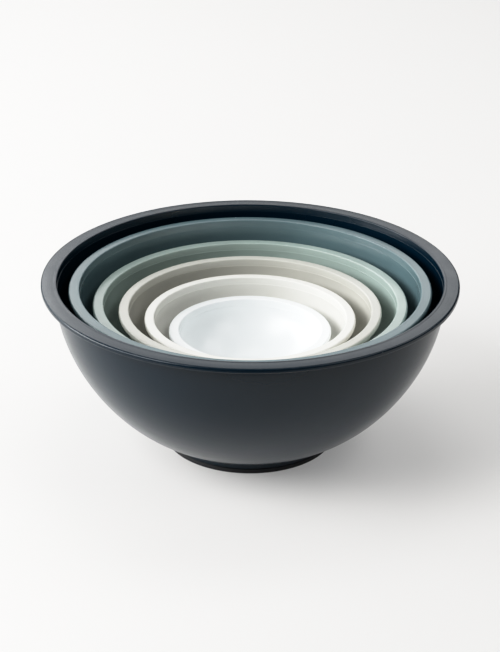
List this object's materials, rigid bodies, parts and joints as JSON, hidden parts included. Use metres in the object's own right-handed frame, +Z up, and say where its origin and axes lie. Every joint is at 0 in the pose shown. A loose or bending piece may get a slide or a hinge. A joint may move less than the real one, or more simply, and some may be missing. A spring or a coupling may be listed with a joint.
{
  "type": "hair color bowl nest",
  "caption": "Nest of round wide-rimmed mixing bowls for hair colour, graded from dark navy to white, each with a soft grip ring under its foot; the bowls lift out of one another.",
  "frame": {"origin": "on the nest's axis, at the middle of the face it stands on", "axes": "+Z up along the axis of every bowl; X and Y lie in the plane it stands on"},
  "size_m": [0.3, 0.3, 0.1273],
  "materials": {
    "navy_plastic": "satin moulded",
    "slate_plastic": "satin moulded",
    "sage_plastic": "satin moulded",
    "greige_plastic": "satin moulded",
    "cream_plastic": "satin moulded",
    "white_plastic": "satin moulded",
    "grip_rubber": "matte"
  },
  "bodies": {
    "navy": {"navy_bowl": "navy_plastic", "navy_grip_ring": "grip_rubber"},
    "slate": {"slate_bowl": "slate_plastic", "slate_grip_ring": "grip_rubber"},
    "sage": {"sage_bowl": "sage_plastic", "sage_grip_ring": "grip_rubber"},
    "greige": {"greige_bowl": "greige_plastic", "greige_grip_ring": "grip_rubber"},
    "cream": {"cream_bowl": "cream_plastic", "cream_grip_ring": "grip_rubber"},
    "white": {"white_bowl": "white_plastic", "white_grip_ring": "grip_rubber"}
  },
  "joints": [
    {"name": "slate_lift", "type": "slide", "parent": "navy", "child": "slate", "axis": [0, 0, 1], "range_m": [0, 0.13]},
    {"name": "sage_lift", "type": "slide", "parent": "slate", "child": "sage", "axis": [0, 0, 1], "range_m": [0, 0.115]},
    {"name": "greige_lift", "type": "slide", "parent": "sage", "child": "greige", "axis": [0, 0, 1], "range_m": [0, 0.092]},
    {"name": "cream_lift", "type": "slide", "parent": "greige", "child": "cream", "axis": [0, 0, 1], "range_m": [0, 0.078]},
    {"name": "white_lift", "type": "slide", "parent": "cream", "child": "white", "axis": [0, 0, 1], "range_m": [0, 0.064]}
  ]
}
